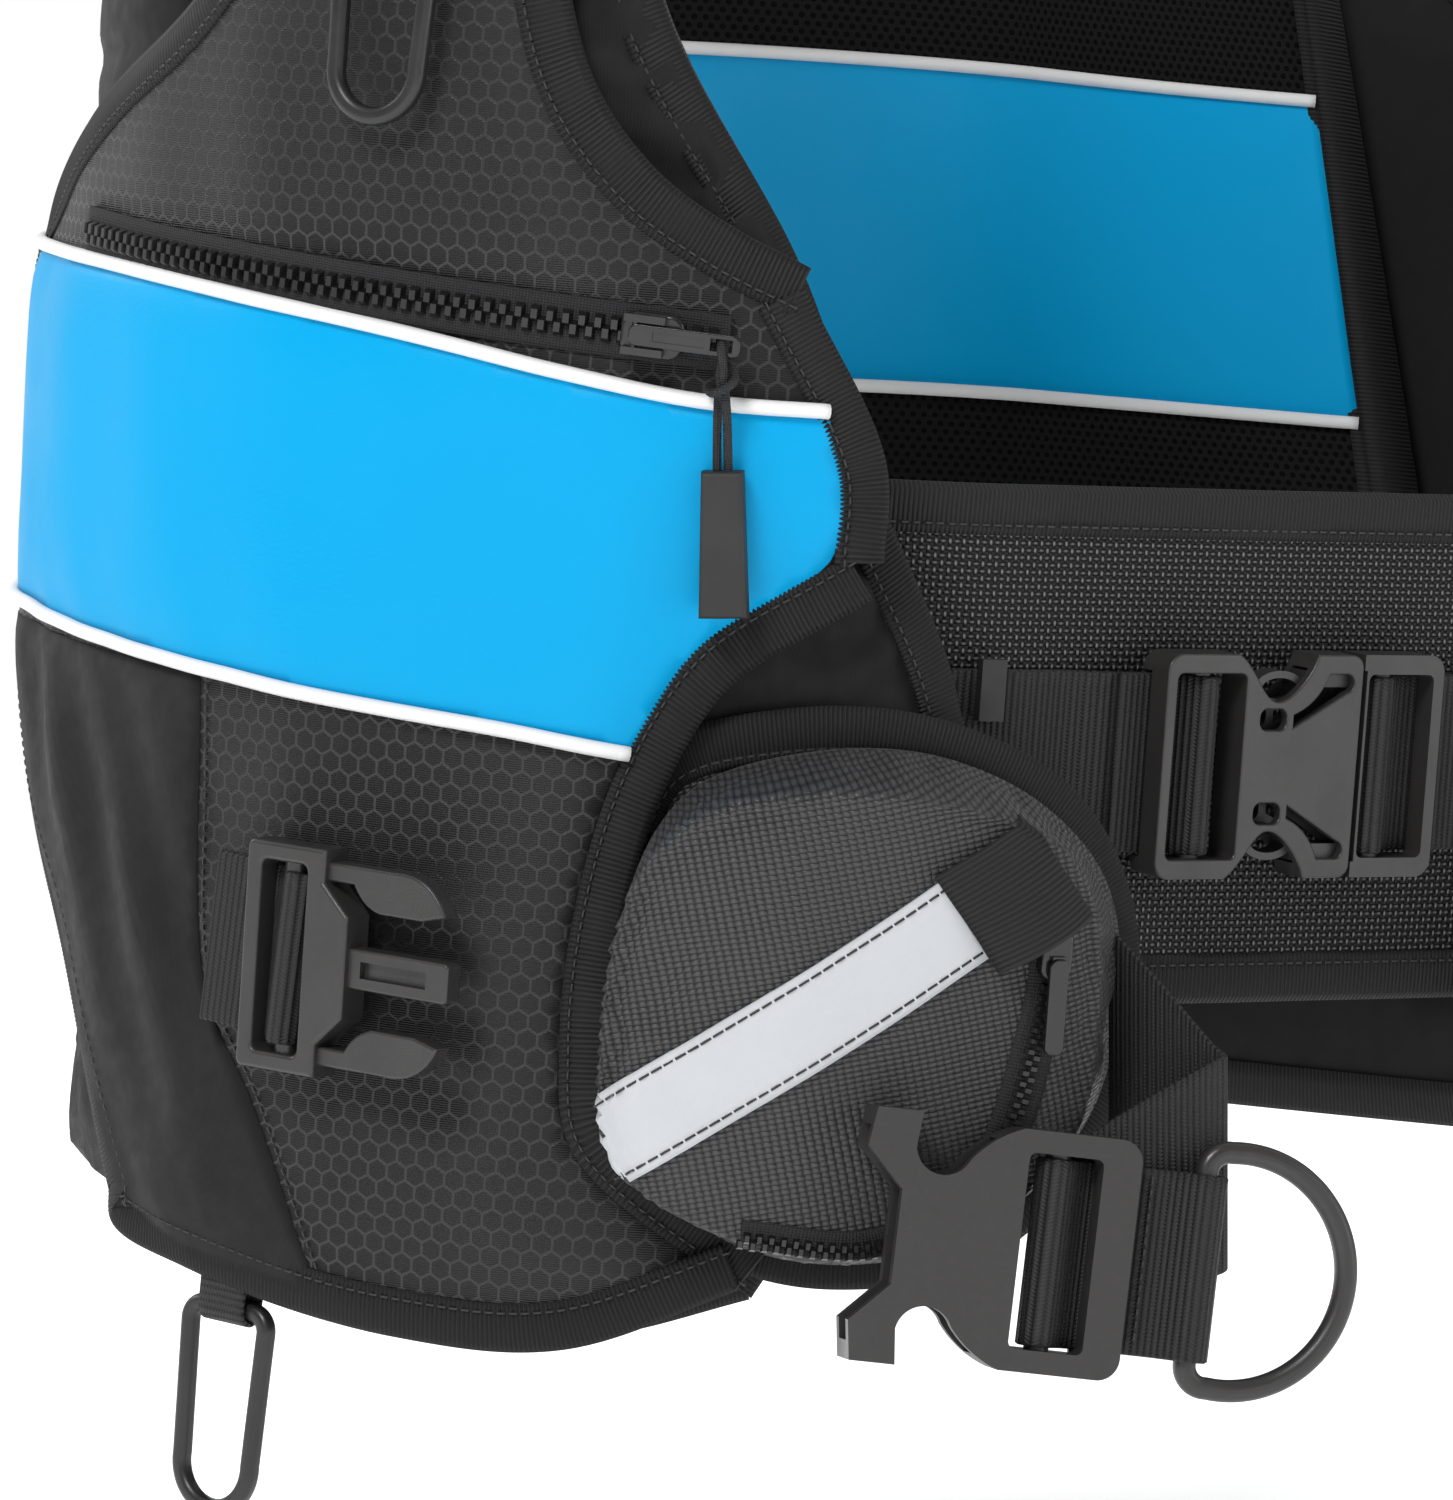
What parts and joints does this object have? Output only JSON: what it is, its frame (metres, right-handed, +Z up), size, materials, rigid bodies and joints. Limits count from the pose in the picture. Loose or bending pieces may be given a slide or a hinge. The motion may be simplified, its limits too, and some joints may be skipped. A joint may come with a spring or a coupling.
{
  "type": "buoyancy compensator vest",
  "caption": "Inflatable diving vest with front lobes, cargo and weight pockets, mesh cummerbund with waist buckle, tank plate and cam band.",
  "frame": {"origin": "on the tank's axis, at the middle of the tank band's height", "axes": "+Z up along the tank, -Y out of the wearer's chest, +X to the wearer's left"},
  "size_m": [0.6016, 0.6102, 0.6763],
  "materials": {
    "cell_fabric": "matt woven nylon",
    "air_mesh": "open air mesh",
    "blue_panel": "satin coated panel with white piping",
    "hex_nylon": "satin hexagon jacquard",
    "ballistic_nylon": "coarse ballistic weave",
    "open_mesh": "coarse open mesh",
    "webbing": "ribbed webbing",
    "padded_fabric": "matt padded nylon",
    "buckle_plastic": "fine-grained moulding",
    "rubber": "matt moulded rubber",
    "cord": "braided cord",
    "zip_teeth": "moulded teeth",
    "zip_metal": "black painted",
    "ring_wire": "black painted"
  },
  "bodies": {
    "vest": {"back_band_panel": "blue_panel", "back_bladder": "cell_fabric", "back_pad": "air_mesh", "backplate": "buckle_plastic", "belt_keepers": "rubber", "cam_buckle": "buckle_plastic", "clip_webbing": "webbing", "dump_valve_body": "buckle_plastic", "grab_handle": "buckle_plastic", "inflator_port": "buckle_plastic", "left_cummerbund": "open_mesh", "left_lobe": "cell_fabric", "left_pocket": "hex_nylon", "left_weight_pouch": "ballistic_nylon", "pocket_band_panels": "blue_panel", "pocket_clips": "buckle_plastic", "right_cummerbund": "open_mesh", "right_lobe": "cell_fabric", "right_pocket": "hex_nylon", "right_weight_pouch": "ballistic_nylon", "ring_tabs": "webbing", "shoulder_buckle_sockets": "buckle_plastic", "shoulder_straps": "padded_fabric", "shoulder_webbing": "webbing", "tank_band": "webbing", "tank_pad": "rubber", "waist_belt": "webbing", "waist_buckle_socket": "buckle_plastic", "weight_pockets": "ballistic_nylon", "zip_chains": "zip_teeth"},
    "right_zip_slider": {"right_zip_slider": "zip_metal"},
    "left_zip_slider": {"left_zip_slider": "zip_metal"},
    "right_zip_tab": {"right_zip_tab": "zip_metal"},
    "left_zip_tab": {"left_zip_tab": "zip_metal"},
    "right_pull": {"right_pull_cord": "cord", "right_pull_toggle": "rubber"},
    "left_pull": {"left_pull_cord": "cord", "left_pull_toggle": "rubber"},
    "right_strap": {"right_weight_strap": "webbing", "right_strap_buckle": "buckle_plastic"},
    "left_strap": {"left_weight_strap": "webbing", "left_strap_buckle": "buckle_plastic"},
    "right_strap_ring": {"right_strap_ring": "buckle_plastic"},
    "left_strap_ring": {"left_strap_ring": "buckle_plastic"},
    "right_chest_ring": {"right_chest_ring": "ring_wire"},
    "left_chest_ring": {"left_chest_ring": "ring_wire"},
    "right_hem_ring": {"right_hem_ring": "ring_wire"},
    "left_hem_ring": {"left_hem_ring": "ring_wire"},
    "right_pouch_slider": {"right_pouch_slider": "zip_metal"},
    "left_pouch_slider": {"left_pouch_slider": "zip_metal"},
    "waist_plug": {"waist_buckle_plug": "buckle_plastic", "waist_tail": "webbing"},
    "right_shoulder_plug": {"right_shoulder_plug": "buckle_plastic", "right_shoulder_tail": "webbing"},
    "left_shoulder_plug": {"left_shoulder_plug": "buckle_plastic", "left_shoulder_tail": "webbing"},
    "cam_lever": {"cam_lever": "buckle_plastic"},
    "inflator_elbow": {"inflator_elbow": "buckle_plastic"},
    "dump_valve_knob": {"dump_valve_knob": "buckle_plastic"}
  },
  "joints": [
    {"name": "right_chest_ring_swing", "type": "hinge", "parent": "vest", "child": "right_chest_ring", "pos_m": [-0.27719, -0.39305, 0.10416], "axis": [0.4955, -0.8612, -0.1134], "range_deg": [-150, 0]},
    {"name": "left_chest_ring_swing", "type": "hinge", "parent": "vest", "child": "left_chest_ring", "pos_m": [0.27719, -0.39305, 0.10416], "axis": [-0.4955, -0.8612, -0.1134], "range_deg": [0, 150]},
    {"name": "right_hem_ring_swing", "type": "hinge", "parent": "vest", "child": "right_hem_ring", "pos_m": [-0.27947, -0.30559, -0.27366], "axis": [0.342, -0.9317, -0.1227], "range_deg": [-80, 80]},
    {"name": "left_hem_ring_swing", "type": "hinge", "parent": "vest", "child": "left_hem_ring", "pos_m": [0.27947, -0.30559, -0.27366], "axis": [-0.342, -0.9317, -0.1227], "range_deg": [-80, 80]},
    {"name": "right_strap_swing", "type": "hinge", "parent": "vest", "child": "right_strap", "pos_m": [-0.052, -0.454, -0.228], "axis": [0, 0, 1], "range_deg": [0, 40]},
    {"name": "left_strap_swing", "type": "hinge", "parent": "vest", "child": "left_strap", "pos_m": [0.052, -0.454, -0.228], "axis": [0, 0, 1], "range_deg": [-40, 0]},
    {"name": "right_strap_ring_swing", "type": "hinge", "parent": "right_strap", "child": "right_strap_ring", "pos_m": [-0.09128, -0.49879, -0.25818], "axis": [0.1151, -0.04, 0.9925], "range_deg": [-50, 50]},
    {"name": "left_strap_ring_swing", "type": "hinge", "parent": "left_strap", "child": "left_strap_ring", "pos_m": [0.09128, -0.49879, -0.25818], "axis": [-0.1151, -0.04, 0.9925], "range_deg": [-50, 50]},
    {"name": "right_zip_run", "type": "hinge", "parent": "vest", "child": "right_zip_slider", "pos_m": [-0.092, -0.27501, 0.01682], "axis": [0.0241, -0.184, 0.9826], "range_deg": [-52, 0]},
    {"name": "left_zip_run", "type": "hinge", "parent": "vest", "child": "left_zip_slider", "pos_m": [0.092, -0.27501, 0.01682], "axis": [-0.0241, -0.184, 0.9826], "range_deg": [0, 52]},
    {"name": "right_zip_tab_tip", "type": "hinge", "parent": "right_zip_slider", "child": "right_zip_tab", "pos_m": [-0.22991, -0.43854, -0.01042], "axis": [0.0241, -0.184, 0.9826], "range_deg": [-100, 0]},
    {"name": "left_zip_tab_tip", "type": "hinge", "parent": "left_zip_slider", "child": "left_zip_tab", "pos_m": [0.22991, -0.43854, -0.01042], "axis": [-0.0241, -0.184, 0.9826], "range_deg": [0, 100]},
    {"name": "right_pull_swing", "type": "hinge", "parent": "right_zip_tab", "child": "right_pull", "pos_m": [-0.21155, -0.45286, -0.01355], "axis": [-0.6234, -0.7712, -0.1291], "range_deg": [-20, 20]},
    {"name": "left_pull_swing", "type": "hinge", "parent": "left_zip_tab", "child": "left_pull", "pos_m": [0.21155, -0.45286, -0.01355], "axis": [0.6234, -0.7712, -0.1291], "range_deg": [-20, 20]},
    {"name": "right_pouch_zip", "type": "slide", "parent": "vest", "child": "right_pouch_slider", "axis": [0, -0.1305, 0.9914], "range_m": [-0.05, 0]},
    {"name": "left_pouch_zip", "type": "slide", "parent": "vest", "child": "left_pouch_slider", "axis": [0, -0.1305, 0.9914], "range_m": [-0.05, 0]},
    {"name": "waist_buckle_release", "type": "slide", "parent": "vest", "child": "waist_plug", "axis": [1, 0, 0], "range_m": [0, 0.036]},
    {"name": "right_shoulder_buckle_release", "type": "slide", "parent": "vest", "child": "right_shoulder_plug", "axis": [0.2835, 0.506, 0.8146], "range_m": [0, 0.033]},
    {"name": "left_shoulder_buckle_release", "type": "slide", "parent": "vest", "child": "left_shoulder_plug", "axis": [-0.2835, 0.506, 0.8146], "range_m": [0, 0.033]},
    {"name": "cam_lever_open", "type": "hinge", "parent": "vest", "child": "cam_lever", "pos_m": [-0.08095, 0.07249, 0], "axis": [0, 0, 1], "range_deg": [-130, 0]},
    {"name": "inflator_swivel", "type": "hinge", "parent": "vest", "child": "inflator_elbow", "pos_m": [0.128, -0.107, 0.218], "axis": [0, 1, 0], "range_deg": [-60, 60]},
    {"name": "dump_valve_pull", "type": "slide", "parent": "vest", "child": "dump_valve_knob", "axis": [-0.4838, 0.8752, 0], "range_m": [0, 0.006], "stiffness_N_per_m": 400, "springref_m": -0.002}
  ]
}
